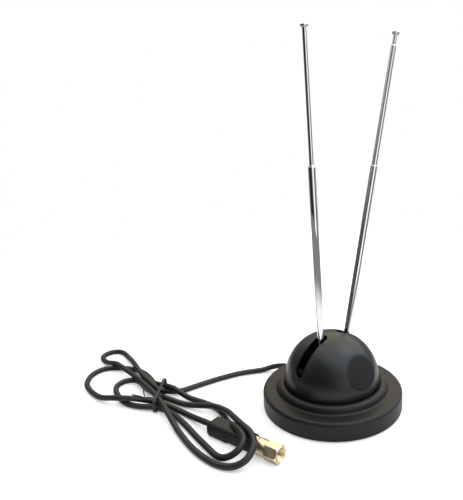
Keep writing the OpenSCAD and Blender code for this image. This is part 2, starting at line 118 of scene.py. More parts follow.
# The walls change with the compass: 0 is behind the antenna, .5 in front of it.
compass = room.sum("ARCTAN2", room_x, room_y) / (2 * math.pi)
compass = room.sum("FRACT", compass + 1)
low_room = room.node("ShaderNodeValToRGB", {"stops": [
    (0, .3), (.125, .35), (.2, .22), (.28, .45), (.33, .35), (.385, .1), (.42, .06), (.455, .4),
    (.49, 1.3), (.55, 1.3), (.585, .5), (.62, .16), (.66, .03), (.78, .02), (.84, .05), (.9, .12),
    (.95, .2)]},
    {"Fac": compass})
high_room = room.node("ShaderNodeValToRGB", {"stops": [
    (0, (.9, .8, .7)), (.12, (1.2, 1.05, .92)), (.2, (1, .92, .84)), (.28, .35), (.42, .3),
    (.47, .9), (.56, .9), (.61, .3), (.69, .15), (.76, .12), (.83, .6), (.92, .6)]},
    {"Fac": compass})
# The lit ceiling: brightest right of and above the antenna, warm behind, cool in front.
ceiling = (room_x * .377 - room_y * .101 + room_z * .921).between(.42, .8)
ceiling_tint = room_y.between(-.45, .7).blend((1.8, 2.0, 2.2, 1), (2.35, 2.05, 1.66, 1))
walls = room_z.between(.16, .5).blend(low_room, high_room)
room_light = ceiling.blend(walls, ceiling_tint)
seen_by_camera = room.node("ShaderNodeLightPath", {}, {}, "Is Camera Ray")
room_colour = seen_by_camera.blend(room_light, (1, 1, 1, 1))
room_colour.to(world.node_tree.nodes["Background"].inputs["Color"])

BOARD_R = 0.62
board_mesh = bpy.data.meshes.new("white_board")
board_shape = bmesh.new()
bmesh.ops.create_circle(board_shape, cap_ends=True, radius=BOARD_R, segments=96,
                        matrix=Matrix.Translation((-0.04, 0.07, -0.00004)))
board_shape.to_mesh(board_mesh)
board_shape.free()
white_board = bpy.data.objects.new("white_board", board_mesh)
bpy.context.scene.collection.objects.link(white_board)
white_paint = bpy.data.materials.new("white_paint")
white_paint.use_nodes = True
board_mesh.materials.append(white_paint)
paint = Wire(white_paint.node_tree)
paint_shader = white_paint.node_tree.nodes["Principled BSDF"]
paint_shader.inputs["Roughness"].default_value = 1
paint_shader.inputs["Specular IOR Level"].default_value = 0
paint_shader.inputs["Emission Color"].default_value = (1, 1, 1, 1)
# What mirrors the board sees it white near the antenna and dim further out.
board_x, board_y, _ = paint.node("ShaderNodeTexCoord", {}, {}, "Object").parts()
far_off = paint.sum("SQRT", board_x * board_x + board_y * board_y).between(.14, .28)
paint_glossy = paint.node("ShaderNodeLightPath", {}, {}, "Is Glossy Ray")
(paint_glossy * far_off).blend((.82, .82, .83, 1), (.17, .17, .175, 1)).to(
    paint_shader.inputs["Base Color"])
(paint.node("ShaderNodeLightPath", {}, {}, "Is Camera Ray") * .35).to(
    paint_shader.inputs["Emission Strength"])

lamp_data = bpy.data.lights.new("soft_lamp", "AREA")
lamp_data.shape = "DISK"
lamp_data.size = 0.6
lamp_data.energy = 1.2
lamp_data.color = (1, 1, 1)
soft_lamp = bpy.data.objects.new("soft_lamp", lamp_data)
lamp_at = Vector((0.5, -0.25, 1.0))
soft_lamp.matrix_world = (Matrix.Translation(lamp_at)
                          @ lamp_at.to_track_quat("Z", "Y").to_matrix().to_4x4())
bpy.context.scene.collection.objects.link(soft_lamp)

# The photograph's view: 38 degrees round to the left, 14 down, rolled by 2.
camera_data = bpy.data.cameras.new("camera")
camera_data.lens = 36.506
camera_data.sensor_width = 36
camera_data.shift_x = -0.1072
camera_data.clip_start = 0.01
camera = bpy.data.objects.new("camera", camera_data)
camera.matrix_world = (Matrix.Translation((-0.2290, -0.2440, 0.1994))
                       @ Matrix.Rotation(math.radians(-38), 4, "Z")
                       @ Matrix.Rotation(math.radians(75.92), 4, "X")
                       @ Matrix.Rotation(math.radians(-2.217), 4, "Z"))
bpy.context.scene.collection.objects.link(camera)
bpy.context.scene.camera = camera
bpy.context.scene.view_settings.view_transform = "Standard"


# Lead: coaxial cable in a satin black jacket, 4.2 mm thick, from the clamp in the
# base, wound into a loose bundle on the table and back to the plug.

LEAD_R = 2.1
LEAD = [
    (0, 40, 6.85), (0, 50, 6.85), (0, 58, 6.85), (-3.5, 66.5, 4.2), (-13, 72, 2.1), (-28, 79, 2.1),
    (-46, 83, 2.1), (-64, 85, 2.1), (-77, 86, 2.3), (-85, 90, 2.9), (-90.5, 98, 3),
    (-92.5, 109, 5.8), (-92.5, 125, 6.4), (-90.5, 142, 6.6), (-87.5, 158, 4.5), (-85.4, 172, 2.1),
    (-85.2, 183.5, 2.1), (-87.9, 190.1, 2.1), (-94.5, 192.8, 2.1), (-101.1, 190.1, 2.1),
    (-103.8, 183.5, 2.1), (-103.8, 172, 3.2), (-101.5, 158, 6.7), (-99.5, 142, 6.6),
    (-98, 124, 6.5), (-98, 106, 6.6), (-98.5, 91, 7), (-99.5, 77, 7), (-101.5, 61, 5.8),
    (-104.5, 38, 2.6), (-106, 14, 2.1), (-103.5, -5, 2.1), (-97.5, -16, 2.9), (-89.5, -20.5, 6.5),
    (-81.5, -17, 11.4), (-77.5, -8, 12.9), (-76, 4, 12.2), (-73, 18, 9.4), (-71, 31, 7.4),
    (-73.5, 43, 6.6), (-79, 54, 4.6), (-85, 66, 2.5), (-90, 78, 2.8), (-94.5, 92, 2.8),
    (-96.5, 108, 2.1), (-96.2, 121, 2.1), (-98.6, 128.2, 2.1), (-105.5, 131.2, 2.1),
    (-112.3, 128.2, 2.1), (-116, 120.5, 2.1), (-117.5, 110, 2.1), (-117, 98, 2.1), (-112, 87, 2.5),
    (-104, 77, 2.9), (-98, 65, 2.2), (-97, 46, 2.1), (-98, 26, 2.1), (-98.5, 10, 2.1),
    (-98.5, -2, 2.6), (-95.5, -9.3, 5), (-89.8, -12.6, 9), (-84.2, -10, 12.2), (-81.7, -2.5, 12.9),
    (-79.5, 9, 10.5), (-75.5, 21, 5), (-71.5, 34, 2.1), (-70, 46, 2.1), (-73, 59, 2.1),
    (-79, 72, 3.2), (-83.5, 85, 6.6), (-86, 98, 5.2), (-88, 112, 2.1), (-87, 125, 2.1),
    (-88, 138, 2.1), (-93, 149, 2.1), (-101, 159, 2.1), (-111, 164.5, 2.1), (-122, 160, 2.1),
    (-129.5, 148, 2.1), (-131, 134, 2.1), (-129, 118, 3), (-123, 104, 6.2), (-115, 95, 6.6),
    (-105, 88, 4.2), (-97.5, 78, 2.9), (-92.5, 64, 2.2), (-89.5, 50, 2.4), (-88.2, 38, 4.4),
    (-86.8, 29, 5.5), (-85, 22.2, 5.5)]


def smooth_line(points, steps):
    """The points joined by one smooth curve, with some steps from each to the next."""
    line = [Vector(p) for p in points]
    ends = [line[0] * 2 - line[1], *line, line[-1] * 2 - line[-2]]
    out = []
    for a, b, c, e in zip(ends, ends[1:], ends[2:], ends[3:]):
        for k in range(steps):
            t = k / steps
            out.append(.5 * (2 * b + (c - a) * t + (2 * a - 5 * b + 4 * c - e) * t * t
                             + (3 * b - a - 3 * c + e) * t ** 3))
    return [p * MM for p in [*out, line[-1]]]


def node_tree(name, sockets):
    """Empty Geometry Nodes tree with the named inputs."""
    tree = bpy.data.node_groups.new(name, "GeometryNodeTree")
    for label, kind in [("Geometry", "NodeSocketGeometry"), *sockets]:
        tree.interface.new_socket(name=label, in_out="INPUT", socket_type=kind)
    tree.interface.new_socket(name="Geometry", in_out="OUTPUT", socket_type="NodeSocketGeometry")
    return tree, Wire(tree, tree.nodes.new("NodeGroupInput").outputs["Geometry"])


def close_tree(tree, shape, limit=.6):
    """Ends a tree: near points merged, sharp edges marked, then realized and painted."""
    given = shape.socket.node.id_data.nodes["Group Input"].outputs
    shape = shape.node("GeometryNodeMergeByDistance", {}, {"Geometry": shape, "Distance": 2e-6})
    angle = shape.node("GeometryNodeInputMeshEdgeAngle", {}, {})
    shape = shape.node("GeometryNodeSetShadeSmooth", {"domain": "EDGE"}, {
        "Geometry": shape, "Shade Smooth": False,
        "Selection": shape.node("FunctionNodeCompare", {"operation": "GREATER_THAN"},
                                {0: angle, 1: limit})})
    shape = shape.node("GeometryNodeRealizeInstances", {}, {"Geometry": shape})
    shape = shape.node("GeometryNodeSetMaterial", {}, {
        "Geometry": shape, "Material": Wire(tree, given["Material"])})
    shape.to(tree.nodes.new("NodeGroupOutput").inputs["Geometry"])


def drawn(name, points, closed=False):
    """Mesh object of one line through the points."""
    mesh = bpy.data.meshes.new(name)
    edges = [(i, i + 1) for i in range(len(points) - 1)]
    if closed:
        edges.append((len(points) - 1, 0))
    mesh.from_pydata([tuple(p) for p in points], edges, [])
    line = bpy.data.objects.new(name, mesh)
    bpy.context.scene.collection.objects.link(line)
    return line


def grown(line, tree, values, body):
    """Runs a tree on a drawn line and leaves a plain mesh that rides on a body."""
    nodes = line.modifiers.new("shape", "NODES")
    nodes.node_group = tree
    for socket in tree.interface.items_tree:
        if socket.in_out == "INPUT" and socket.name in values:
            nodes[socket.identifier] = values[socket.name]
    bpy.context.view_layer.update()
    graph = bpy.context.evaluated_depsgraph_get()
    mesh = bpy.data.meshes.new_from_object(line.evaluated_get(graph), depsgraph=graph)
    line.modifiers.remove(nodes)
    line.data = mesh
    return tidied(line, body)


def tidied(piece, body):
    """Merges what touches, drops loose edges, turns the faces outward."""
    shape = bmesh.new()
    shape.from_mesh(piece.data)
    bmesh.ops.remove_doubles(shape, verts=shape.verts, dist=1e-6)
    bmesh.ops.dissolve_degenerate(shape, edges=shape.edges, dist=1e-7)
    bmesh.ops.delete(shape, geom=[e for e in shape.edges if not e.link_faces], context="EDGES")
    bmesh.ops.delete(shape, geom=[v for v in shape.verts if not v.link_edges], context="VERTS")
    bmesh.ops.recalc_face_normals(shape, faces=shape.faces)
    shape.to_mesh(piece.data)
    shape.free()
    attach(piece, body)
    return piece


def finish_named(name, **levels):
    """New material: its shader, with constants on its sockets, and the object's own coordinates."""
    material = bpy.data.materials.new(name)
    material.use_nodes = True
    shader = material.node_tree.nodes["Principled BSDF"]
    for key, value in levels.items():
        shader.inputs[key.replace("_", " ")].default_value = value
    place = Wire(material.node_tree).node("ShaderNodeTexCoord", {}, {}, "Object")
    return material, shader, place


def noise(place, per_mm, detail=3, roughness=.5):
    """Even noise, 0 to 1, with about that many spots per millimetre."""
    return place.node("ShaderNodeTexNoise", {}, {
        "Vector": place, "Scale": per_mm * 1000, "Detail": detail, "Roughness": roughness}, "Fac")


def bump(height, depth, strength=1):
    """Surface relief of that depth in metres."""
    return height.node("ShaderNodeBump", {}, {
        "Height": height, "Distance": depth, "Strength": strength}, "Normal")


tube_tree, tube_line = node_tree("tube_on_a_line", [
    ("Radius", "NodeSocketFloat"), ("Sides", "NodeSocketInt"), ("Material", "NodeSocketMaterial")])
tube_given = tube_tree.nodes["Group Input"].outputs
tube_ring = tube_line.node("GeometryNodeCurvePrimitiveCircle", {}, {
    "Radius": Wire(tube_tree, tube_given["Radius"]),
    "Resolution": Wire(tube_tree, tube_given["Sides"])})
tube_path = tube_line.node("GeometryNodeMeshToCurve", {}, {"Mesh": tube_line})
close_tree(tube_tree, tube_line.node("GeometryNodeCurveToMesh", {}, {
    "Curve": tube_path, "Profile Curve": tube_ring, "Fill Caps": True}))

jacket, jacket_shader, jacket_place = finish_named(
    "black_jacket", Specular_IOR_Level=.45, Coat_Roughness=.3)
jacket_grain = noise(jacket_place, 3, 4)
jacket_wear = noise(jacket_place, .08, 3).between(.35, .7)
jacket_wear.blend((.006, .006, .0062, 1), (.0105, .0103, .0102, 1)).to(
    jacket_shader.inputs["Base Color"])
(.36 + jacket_grain * .08 + jacket_wear * .06).to(jacket_shader.inputs["Roughness"])
bump(jacket_grain, .00003, .5).to(jacket_shader.inputs["Normal"])

# The curve would dip a little between points on the table, so it is held there.
lead_path = smooth_line(LEAD, 6)
for spot in lead_path:
    spot.z = max(spot.z, LEAD_R * MM)
lead = grown(drawn("lead_jacket", lead_path), tube_tree,
             {"Radius": LEAD_R * MM, "Sides": 20, "Material": jacket}, "stand")
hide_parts("lead")


# Foot pad and bottom plate: a soft foam disc glued into a shallow well of the
# moulded plate, which closes the base from below.

foam, foam_shader, foam_place = finish_named("foot_foam", Specular_IOR_Level=.2, Roughness=.9)
foam_cells = foam_place.node("ShaderNodeTexVoronoi", {}, {
    "Vector": foam_place, "Scale": 1800}, "Distance")
foam_cells.between(0, .6).blend((.006, .006, .007, 1), (.022, .022, .023, 1)).to(
    foam_shader.inputs["Base Color"])
bump(foam_cells, .0002, .6).to(foam_shader.inputs["Normal"])

plate_plastic, plate_shader, plate_place = finish_named("plate_plastic", Specular_IOR_Level=.4)
plate_grain = noise(plate_place, 2.4, 4, .6)
noise(plate_place, .05, 2).blend((.016, .016, .017, 1), (.022, .022, .023, 1)).to(
    plate_shader.inputs["Base Color"])
(.52 + plate_grain * .16).to(plate_shader.inputs["Roughness"])
bump(plate_grain, .00008, .5).to(plate_shader.inputs["Normal"])


def painted(material, *nodes):
    """Gives CAD nodes, whose shapes are right as they are, their finish."""
    for node in nodes:
        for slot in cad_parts[node].material_slots:
            slot.material = material


painted(foam, "foot_pad")
painted(plate_plastic, "base_plate")


# Ring weight: grey cast iron with a coarse skin, laid on the bottom plate.

cast_iron, iron_shader, iron_place = finish_named("cast_iron", Metallic=.85, Specular_IOR_Level=.4)
iron_skin = noise(iron_place, .9, 6, .65)
iron_skin.between(.35, .7).blend((.16, .155, .15, 1), (.28, .28, .285, 1)).to(
    iron_shader.inputs["Base Color"])
(.5 + iron_skin * .3).to(iron_shader.inputs["Roughness"])
bump(iron_skin, .0004, .5).to(iron_shader.inputs["Normal"])
painted(cast_iron, "ring_weight")


# Screws: zinc-plated pan heads with a cross recess, four each in the case, the
# dome and the board, and one in each bracket.

zinc, zinc_shader, zinc_place = finish_named("zinc_plate", Metallic=1.0)
zinc_bloom = noise(zinc_place, .5, 4)
zinc_bloom.blend((.5, .51, .53, 1), (.66, .67, .69, 1)).to(zinc_shader.inputs["Base Color"])
(.26 + zinc_bloom * .2).to(zinc_shader.inputs["Roughness"])
painted(zinc, "case_screws", "dome_screws", "bracket_screws", "board_screws")


# Base cover: matte black moulded plastic, turned in one piece with the round bead
# that the dome stands in. Fine grain all over, from the mould.

def corners_rounded(corners, per_turn=48):
    """Outline through (radius, height, rounding) corners, each with its own rounding."""
    out = []
    count = len(corners)
    for i, (x, z, r) in enumerate(corners):
        here = Vector((x, z))
        before = Vector(corners[i - 1][:2]) - here
        after = Vector(corners[(i + 1) % count][:2]) - here
        if r <= 0:
            out.append(here)
            continue
        turn = math.pi - before.angle(after)
        reach = r * math.tan(turn / 2)
        inward = (before.normalized() + after.normalized()).normalized()
        middle = here + inward * (r / math.cos(turn / 2))
        start = here + before.normalized() * reach - middle
        end = here + after.normalized() * reach - middle
        steps = max(2, math.ceil(per_turn * turn / (2 * math.pi)))
        sweep = start.angle_signed(end)
        for k in range(steps + 1):
            a = -sweep * k / steps
            out.append(middle + Vector((start.x * math.cos(a) - start.y * math.sin(a),
                                        start.x * math.sin(a) + start.y * math.cos(a))))
    return out


def arc(x, z, r, start, end, steps):
    """Points on a circle, angles in degrees."""
    return [Vector((x + r * math.cos(math.radians(a)), z + r * math.sin(math.radians(a))))
            for a in (start + (end - start) * k / steps for k in range(steps + 1))]


turn_tree, turn_line = node_tree("turned", [
    ("Steps", "NodeSocketInt"), ("Place", "NodeSocketVector"), ("Turn", "NodeSocketRotation"),
    ("Material", "NodeSocketMaterial")])
turn_given = turn_tree.nodes["Group Input"].outputs
# The circle is 1 mm in radius and each outline is drawn 1 mm nearer its axis.
turn_circle = turn_line.node("GeometryNodeCurvePrimitiveCircle", {}, {
    "Radius": MM, "Resolution": Wire(turn_tree, turn_given["Steps"])})
turn_shape = turn_line.node("GeometryNodeCurveToMesh", {}, {
    "Curve": turn_circle,
    "Profile Curve": turn_line.node("GeometryNodeMeshToCurve", {}, {"Mesh": turn_line})})
turn_shape = turn_shape.node("GeometryNodeTransform", {}, {
    "Geometry": turn_shape, "Translation": Wire(turn_tree, turn_given["Place"]),
    "Rotation": Wire(turn_tree, turn_given["Turn"])})
close_tree(turn_tree, turn_shape)


def turned(name, outline, material, body, place=(0, 0, 0), turn=(0, 0, 0), steps=160, closed=True):
    """A turned piece from its (radius, height) outline in millimetres."""
    line = drawn(name, [((p[0] - 1) * MM, -p[1] * MM, 0) for p in outline], closed)
    return grown(line, turn_tree, {"Steps": steps, "Place": [c * MM for c in place],
                                   "Turn": turn, "Material": material}, body)


BASE_R, BASE_TOP, BASE_INSIDE, SEAT_R, SEAT_TOP = 50, 13.4, 10.8, 30.6, 15.2
OUTLET_Z = 6.85
cover_plastic, cover_shader, cover_place = finish_named("cover_plastic", Specular_IOR_Level=.29)
cover_grain = noise(cover_place, 2.2, 5, .62)
cover_cloud = noise(cover_place, .03, 3)
cover_cloud.between(.3, .7).blend((.0065, .0063, .0064, 1), (.0095, .0092, .009, 1)).to(
    cover_shader.inputs["Base Color"])
(.34 + cover_grain * .12 + cover_cloud * .05).to(cover_shader.inputs["Roughness"])
bump(cover_grain, .00006, .45).to(cover_shader.inputs["Normal"])

cover_outline = (
    corners_rounded([
        (SEAT_R, SEAT_TOP, 0), (SEAT_R, BASE_INSIDE, 0), (BASE_R - 3, BASE_INSIDE, .6),
        (BASE_R - 3, .7, .25), (BASE_R, .7, .5), (BASE_R, BASE_TOP, 2.5), (43, BASE_TOP, 0)])
    + arc(41.2, SEAT_TOP, 1.8, 270, 183.4, 14) + arc(36, 14.9, 3.4, 4.5, 126, 40)
    + arc(34.18, 17.15, .42, 95, 180, 8) + [Vector((33.76, SEAT_TOP))])
cover_outline = cover_outline[1:] + cover_outline[:1]
cover = turned("cover_shell", [
    (0, BASE_INSIDE), *cover_outline[1:-1], (33.75, SEAT_TOP), (SEAT_R, SEAT_TOP),
    (SEAT_R, BASE_TOP), (0, BASE_TOP)], cover_plastic, "stand", steps=240, closed=False)


def pegs(points, radius, low, high, sides=32):
    """Plain round bosses of one mesh, points in millimetres."""
    shape = bmesh.new()
    for x, y in points:
        bmesh.ops.create_cone(shape, cap_ends=True, segments=sides, radius1=radius * MM,
                              radius2=radius * MM, depth=(high - low) * MM,
                              matrix=Matrix.Translation((x * MM, y * MM, (low + high) / 2 * MM)))
    return shape


def cut_from(piece, shape, operation="DIFFERENCE"):
    """Cuts a shape out of a piece, or joins it on."""
    mesh = bpy.data.meshes.new("cutter")
    shape.to_mesh(mesh)
    shape.free()
    cutter = bpy.data.objects.new("cutter", mesh)
    bpy.context.scene.collection.objects.link(cutter)
    cut = piece.modifiers.new("cut", "BOOLEAN")
    cut.operation, cut.solver, cut.object = operation, "EXACT", cutter
    bpy.context.view_layer.update()
    graph = bpy.context.evaluated_depsgraph_get()
    after = bpy.data.meshes.new_from_object(piece.evaluated_get(graph), depsgraph=graph)
    piece.modifiers.remove(cut)
    piece.data = after
    bpy.data.objects.remove(cutter)


four_case = [(43 * math.cos(math.radians(a)), 43 * math.sin(math.radians(a)))
             for a in (45, 135, 225, 315)]
two_pivot = [(-17.5, 0), (17.5, 0)]
four_dome = [(x, y) for x in (-19, 19) for y in (-19, 19)]
four_board = [(x, y) for x in (-9.5, 9.5) for y in (12, 24)]
cut_from(cover, pegs(four_case, 3, 2.9, 11.4), "UNION")
cut_from(cover, pegs(two_pivot, 3, 8.4, 11.4), "UNION")
cut_from(cover, pegs(four_board, 2.4, 12.4, 17), "UNION")
cut_from(cover, pegs(four_case, 1.2, 2, 8.9))
cut_from(cover, pegs(two_pivot, 1, 8, 20))
cut_from(cover, pegs(four_board, .9, 13.4, 20))
cut_from(cover, pegs(four_dome, 1.5, 5, 20))
cut_from(cover, pegs([(0, 18)], 3.5, 5, 20, 48))
outlet_cut = pegs([(0, 0)], 2.9, -8, 8, 48)
bmesh.ops.transform(
    outlet_cut, verts=outlet_cut.verts,
    matrix=Matrix.Translation((0, 48.5 * MM, OUTLET_Z * MM)) @ Matrix.Rotation(math.pi / 2, 4, "X"))
cut_from(cover, outlet_cut)
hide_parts("base_cover")


# Dome: satin black moulded shell, 2.2 mm thick, with two long slots for the rods and
# a soft-edged round flat in front. It drops into the bead's seat.

DOME_R, DOME_Z, WALL, SLOT_W = 33.7, 20.6, 2.2, 7.6
SLOT_ENDS = (math.radians(16), math.radians(65.5))
FLAT_WAY = Vector((0, -math.cos(math.radians(26)), math.sin(math.radians(26))))
FLAT_DEPTH = 2.2
RIM_STEPS = 240


def soft_less(a, b, soft):
    """The lesser of two lengths, rounded where they meet."""
    h = max(soft - abs(a - b), 0) / soft
    return min(a, b) - h * h * soft / 4


def skin_point(way, inner=0):
    """Point of the dome's skin in a direction, with the flat's edge rounded."""
    lean = way.dot(FLAT_WAY)
    reach = DOME_R - inner
    if lean > .5:
        reach = soft_less(reach, (DOME_R - FLAT_DEPTH - inner) / lean, .55)
    return way * reach


def slot_ring(side, out, radius, per_end=20, per_side=26):
    """Points round a slot, some way out from its wall, at a distance from the dome's middle."""
    half = SLOT_W / 2 + out
    points = []
    for end, first in ((SLOT_ENDS[1], -90), (SLOT_ENDS[0], 90)):
        along = Vector((math.sin(end), 0, math.cos(end)))
        across = Vector((math.cos(end), 0, -math.sin(end)))
        for k in range(per_end + 1):
            a = math.radians(first + 180 * k / per_end)
            points.append(along * math.sqrt(radius ** 2 - half ** 2)
                          + across * half * math.cos(a) + Vector((0, half * math.sin(a), 0)))
        other = SLOT_ENDS[0] if end == SLOT_ENDS[1] else SLOT_ENDS[1]
        y = half if end == SLOT_ENDS[1] else -half
        for k in range(1, per_side):
            a = end + (other - end) * k / per_side
            rho = math.sqrt(radius ** 2 - half ** 2)
            points.append(Vector((rho * math.sin(a), y, rho * math.cos(a))))
    return [Vector((side * p.x, p.y, p.z)) for p in points]


def unrolled(way):
    """Direction as a flat map: turn round the top, and arc down from it."""
    down = math.acos(max(-1, min(1, way.z)))
    flat = Vector((way.x, way.y))
    return flat.normalized() * down if flat.length > 1e-9 else flat


def rolled(spot):
    down = spot.length
    if down < 1e-9:
        return Vector((0, 0, 1))
    return Vector((spot.x / down * math.sin(down), spot.y / down * math.sin(down), math.cos(down)))


rim_down = math.acos((SEAT_TOP - DOME_Z + .3) / DOME_R)
spots = []
rows = 46
for k in range(1, rows):
    down = rim_down * k / rows
    count = max(6, round(2 * math.pi * math.sin(down) / (rim_down / rows) * .9))
    spots += [Vector((math.cos(a), math.sin(a))) * down
              for a in (2 * math.pi * (j + .5 * (k % 2)) / count for j in range(count))]
flat_turn = Vector((0, 0, 1)).rotation_difference(FLAT_WAY)
flat_rim = math.acos((DOME_R - FLAT_DEPTH) / DOME_R)
flat_spots = []
for spread in (-.04, -.028, -.018, -.009, 0, .009, .018, .028, .04):
    for j in range(150):
        a = 2 * math.pi * (j + .5 * (spread > 0)) / 150
        flat_spots.append(unrolled(flat_turn @ rolled(
            Vector((math.cos(a), math.sin(a))) * (flat_rim + spread))))
skirt_ring = [Vector((math.cos(a), math.sin(a))) * rim_down
              for a in (2 * math.pi * j / RIM_STEPS for j in range(RIM_STEPS))]
slot_rings = [[unrolled(p.normalized()) for p in slot_ring(side, 1.6, DOME_R)] for side in (-1, 1)]


def clear_of_slots(spot, gap):
    way = rolled(spot)
    p = way * DOME_R
    lean = math.atan2(abs(p.x), p.z)
    if SLOT_ENDS[0] <= lean <= SLOT_ENDS[1]:
        return abs(p.y) > SLOT_W / 2 + gap
    end = SLOT_ENDS[0] if lean < SLOT_ENDS[0] else SLOT_ENDS[1]
    along = Vector((math.copysign(math.sin(end), p.x), 0, math.cos(end)))
    return (p - along * p.dot(along)).length > SLOT_W / 2 + gap


def off_flat(spot):
    return abs(rolled(spot).angle(FLAT_WAY) - flat_rim) > .05


free = [s for s in [Vector((0, 0)), *spots] if off_flat(s) and clear_of_slots(s, 2.1)] + flat_spots
mapped, loops = list(skirt_ring), [list(range(RIM_STEPS))]
for ring in slot_rings:
    loops.append(list(range(len(mapped), len(mapped) + len(ring))))
    mapped += ring
mapped += free
fences = [(loop[i], loop[(i + 1) % len(loop)]) for loop in loops for i in range(len(loop))]
flat_map, _, cells, origins, _, _ = geometry.delaunay_2d_cdt(mapped, fences, [], 0, 1e-7)
number = {first[0]: i for i, first in enumerate(origins) if first}
cells = [cell for cell in cells
         if not any(all(origins[v] and loops[n][0] <= origins[v][0] <= loops[n][-1] for v in cell)
                    or not clear_of_slots(sum((flat_map[v] for v in cell), Vector((0, 0))) / 3, 1.3)
                    for n in (1, 2))]

shell = bmesh.new()


def verts_at(points):
    return [shell.verts.new((p + Vector((0, 0, DOME_Z))) * MM) for p in points]


def joined(ring_a, ring_b):
    for i in range(len(ring_a)):
        j = (i + 1) % len(ring_a)
        shell.faces.new((ring_a[i], ring_a[j], ring_b[j], ring_b[i]))


skins = []
for inner in (0, WALL):
    skin = verts_at([skin_point(rolled(spot), inner) for spot in flat_map])
    for cell in cells:
        shell.faces.new([skin[v] for v in (cell if inner == 0 else reversed(cell))])
    skins.append(skin)
for n, side in ((1, -1), (2, 1)):
    last = [skins[0][number[v]] for v in loops[n]]
    lip = [(1.1, DOME_R), (.7, DOME_R)] + [
        (.6 - .6 * math.sin(math.radians(a)), DOME_R - .6 + .6 * math.cos(math.radians(a)))
        for a in (0, 18, 36, 54, 72, 90)]
    lip += [(0, DOME_R - WALL + .3), (.12, DOME_R - WALL + .06), (.3, DOME_R - WALL),
            (.9, DOME_R - WALL)]
    for out, radius in lip:
        ring = verts_at(slot_ring(side, out, radius))
        joined(last, ring)
        last = ring
    joined(last, [skins[1][number[v]] for v in loops[n]])
low = SEAT_TOP - DOME_Z
last = [skins[0][number[v]] for v in loops[0]]
for reach, z in ((33.24, low + .08), (33.0, low), (31.3, low)):
    ring = verts_at([Vector((p.x, p.y, 0)).normalized() * reach + Vector((0, 0, z))
                     for p in (rolled(s) for s in skirt_ring)])
    joined(last, ring)
    last = ring
joined(last, [skins[1][number[v]] for v in loops[0]])
# The posts run up into the shell and end 1 mm under its skin.
post_mesh = pegs(four_dome, 3, BASE_TOP, 30)
for vert in post_mesh.verts:
    if vert.co.z > .025:
        vert.co.z = DOME_Z * MM + math.sqrt(
            (32.7 * MM) ** 2 - vert.co.x ** 2 - vert.co.y ** 2)
holes = pegs(four_dome, 1.1, 12, 23.4)
posts_data = bpy.data.meshes.new("dome_posts")
post_mesh.to_mesh(posts_data)
post_mesh.free()
dome_posts = bpy.data.objects.new("dome_posts", posts_data)
bpy.context.scene.collection.objects.link(dome_posts)
cut_from(dome_posts, holes)
shell.from_mesh(dome_posts.data)
bpy.data.objects.remove(dome_posts)
dome_mesh = bpy.data.meshes.new("dome_shell")
shell.to_mesh(dome_mesh)
shell.free()
dome = bpy.data.objects.new("dome_shell", dome_mesh)
bpy.context.scene.collection.objects.link(dome)
tidied(dome, "stand")


def smoothed(piece, material, limit=.6):
    """Smooth faces with sharp edges past a limit, in one finish."""
    piece.data.materials.clear()
    piece.data.materials.append(material)
    shape = bmesh.new()
    shape.from_mesh(piece.data)
    for face in shape.faces:
        face.smooth, face.material_index = True, 0
    for edge in shape.edges:
        edge.smooth = len(edge.link_faces) == 2 and edge.calc_face_angle(0) < limit
    shape.to_mesh(piece.data)
    shape.free()


satin, satin_shader, satin_place = finish_named("satin_plastic", Specular_IOR_Level=.43)
satin_grain = noise(satin_place, 2.6, 5, .6)
satin_cloud = noise(satin_place, .035, 3)
satin_cloud.between(.3, .7).blend((.0055, .0055, .0058, 1), (.0085, .0085, .0088, 1)).to(
    satin_shader.inputs["Base Color"])
(.25 + satin_grain * .08 + satin_cloud * .04).to(satin_shader.inputs["Roughness"])
bump(satin_grain, .00004, .35).to(satin_shader.inputs["Normal"])
smoothed(dome, satin)
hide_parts("dome")


# Pivots: folded zinc-plated brackets, nickel-plated pins and spring washers inside
# the dome, each squeezing a rod's brass lug.

bracket_zinc, bracket_shader, bracket_place = finish_named("bracket_zinc", Metallic=1.0)
bracket_bloom = noise(bracket_place, .35, 5)
bracket_bloom.blend((.52, .54, .57, 1), (.7, .71, .73, 1)).to(bracket_shader.inputs["Base Color"])
(.3 + bracket_bloom * .25).to(bracket_shader.inputs["Roughness"])
bump(noise(bracket_place, 3, 3), .00002, .4).to(bracket_shader.inputs["Normal"])
painted(bracket_zinc, "left_bracket", "right_bracket")

nickel, nickel_shader, nickel_place = finish_named("nickel_plate", Metallic=1.0)
nickel_bloom = noise(nickel_place, 1.2, 3)
nickel_bloom.blend((.62, .59, .52, 1), (.74, .71, .65, 1)).to(nickel_shader.inputs["Base Color"])
(.16 + nickel_bloom * .16).to(nickel_shader.inputs["Roughness"])
painted(nickel, "left_pivot_pin", "right_pivot_pin")

spring_steel, steel_shader, steel_place = finish_named("spring_steel", Metallic=1.0)
steel_bloom = noise(steel_place, 1.5, 4)
steel_bloom.blend((.34, .35, .37, 1), (.5, .5, .52, 1)).to(steel_shader.inputs["Base Color"])
(.28 + steel_bloom * .2).to(steel_shader.inputs["Roughness"])
painted(spring_steel, "left_spring_washer", "right_spring_washer")

brass, brass_shader, brass_place = finish_named("lug_brass", Metallic=1.0)
brass_bloom = noise(brass_place, .8, 4)
brass_bloom.blend((.48, .33, .13, 1), (.66, .48, .22, 1)).to(brass_shader.inputs["Base Color"])
(.24 + brass_bloom * .22).to(brass_shader.inputs["Roughness"])
painted(brass, "left_lug", "right_lug")


# Balun: a small green board on four posts with a grey ferrite core, its enamelled
# winding, and the four wires soldered to it.

